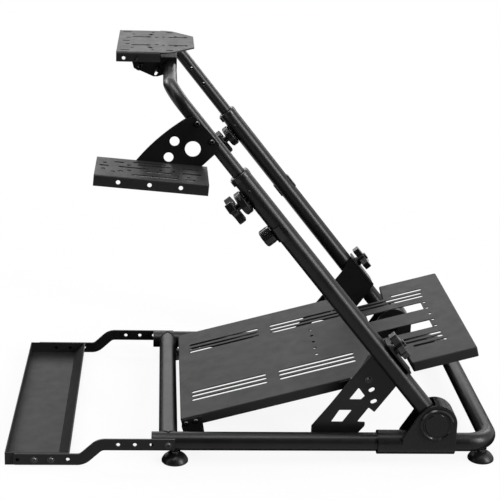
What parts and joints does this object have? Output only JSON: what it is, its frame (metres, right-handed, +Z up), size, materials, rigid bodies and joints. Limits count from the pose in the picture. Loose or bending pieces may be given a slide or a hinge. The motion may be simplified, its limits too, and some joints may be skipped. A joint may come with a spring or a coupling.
{
  "type": "racing wheel stand",
  "caption": "Free-standing tube frame for a game steering wheel, with a sloped pedal plate, a raised wheel plate, a side shelf and a floor tray for a chair.",
  "frame": {"origin": "middle of the overall box, on the floor; the frame's plane of symmetry is at Y = +60.15 mm because the shelf stands out on the -Y side", "axes": "+Z up, +X from the floor tray towards the rear cross of the base, away from the driver"},
  "size_m": [1.0066, 0.7412, 0.8087],
  "materials": {
    "steel": "satin powder coat",
    "plastic": "fine grain",
    "bolt": "black oxide"
  },
  "bodies": {
    "base": {"base_tube": "steel", "front_cross_tube": "steel", "floor_tray": "steel", "pedal_plate": "steel", "near_end_plug": "plastic", "far_end_plug": "plastic", "near_front_foot": "plastic", "far_front_foot": "plastic", "near_rear_foot": "plastic", "far_rear_foot": "plastic", "near_hinge_housing": "plastic", "far_hinge_housing": "plastic", "near_hinge_bolt": "bolt", "far_hinge_bolt": "bolt", "near_hinge_cap": "plastic", "far_hinge_cap": "plastic", "near_tray_arm": "steel", "far_tray_arm": "steel", "near_pedal_leg": "steel", "far_pedal_leg": "steel", "near_strut": "steel", "far_strut": "steel", "near_lock_lug": "steel", "far_lock_lug": "steel", "near_pedal_hanger": "steel", "far_pedal_hanger": "steel"},
    "uprights": {"near_tube_clip": "plastic", "far_tube_band": "plastic", "near_outer_tube": "steel", "far_outer_tube": "steel", "near_top_bushing": "plastic", "far_top_bushing": "plastic", "near_lock_ring": "plastic", "far_lock_ring": "plastic"},
    "upper": {"upper_tube": "steel", "shifter_bracket": "steel", "shifter_platform": "steel", "wheel_yoke": "steel", "tilt_bolt": "bolt"},
    "wheel_mount": {"wheel_plate": "steel"},
    "near_height_knob": {"near_height_knob": "plastic"},
    "near_lock_knob": {"near_lock_knob": "plastic"},
    "far_height_knob": {"far_height_knob": "plastic"},
    "far_lock_knob": {"far_lock_knob": "plastic"}
  },
  "joints": [
    {"name": "upright_fold", "type": "hinge", "parent": "base", "child": "uprights", "pos_m": [0.36471, 0.06015, 0.09359], "axis": [0, -1, 0], "range_deg": [0, 40]},
    {"name": "height_slide", "type": "slide", "parent": "uprights", "child": "upper", "axis": [-0.6307, 0, 0.776], "range_m": [-0.035, 0.08]},
    {"name": "wheel_tilt", "type": "hinge", "parent": "upper", "child": "wheel_mount", "pos_m": [-0.24275, 0.06015, 0.769], "axis": [0, 1, 0], "range_deg": [-10, 10]},
    {"name": "near_height_knob_turn", "type": "hinge", "parent": "uprights", "child": "near_height_knob", "pos_m": [-0.04934, -0.22035, 0.53965], "axis": [-0.776, 0, -0.6307], "continuous": true},
    {"name": "near_lock_knob_turn", "type": "hinge", "parent": "base", "child": "near_lock_knob", "pos_m": [0.28362, -0.22035, 0.2568], "axis": [0.776, 0, 0.6307], "continuous": true},
    {"name": "far_height_knob_turn", "type": "hinge", "parent": "uprights", "child": "far_height_knob", "pos_m": [-0.04934, 0.34065, 0.53965], "axis": [-0.776, 0, -0.6307], "continuous": true},
    {"name": "far_lock_knob_turn", "type": "hinge", "parent": "base", "child": "far_lock_knob", "pos_m": [0.28362, 0.34065, 0.2568], "axis": [0.776, 0, 0.6307], "continuous": true}
  ]
}
